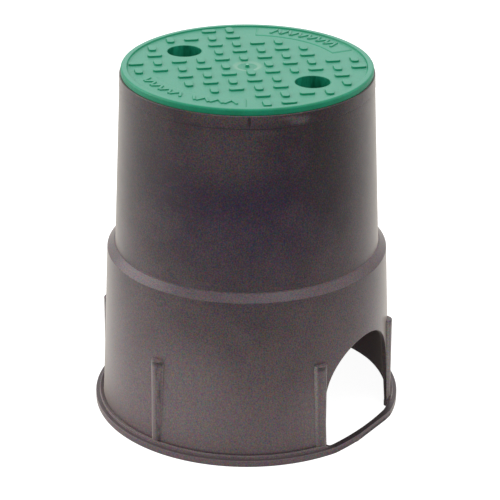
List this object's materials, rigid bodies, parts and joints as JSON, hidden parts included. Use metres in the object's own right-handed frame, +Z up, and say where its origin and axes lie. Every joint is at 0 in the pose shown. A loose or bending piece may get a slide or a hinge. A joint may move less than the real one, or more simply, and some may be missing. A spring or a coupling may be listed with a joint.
{
  "type": "irrigation valve box",
  "caption": "Round tapered irrigation valve box with a flanged base, two arched pipe slots and a green lift-out tread lid with finger holes.",
  "frame": {"origin": "centre of the base flange, at the level it stands on", "axes": "+Z up along the axis of the box; the pipe slots face +X and -X, and the finger holes lie above them"},
  "size_m": [0.1974, 0.2032, 0.234],
  "materials": {
    "black_plastic": "moulded polyolefin with a slight sheen",
    "green_plastic": "moulded polyolefin with a slight sheen"
  },
  "bodies": {
    "ground_box": {"box_body": "black_plastic"},
    "lift_lid": {"lid": "green_plastic"}
  },
  "joints": [
    {"name": "lid_lift", "type": "slide", "parent": "ground_box", "child": "lift_lid", "axis": [0, 0, 1], "range_m": [0, 0.09]}
  ]
}
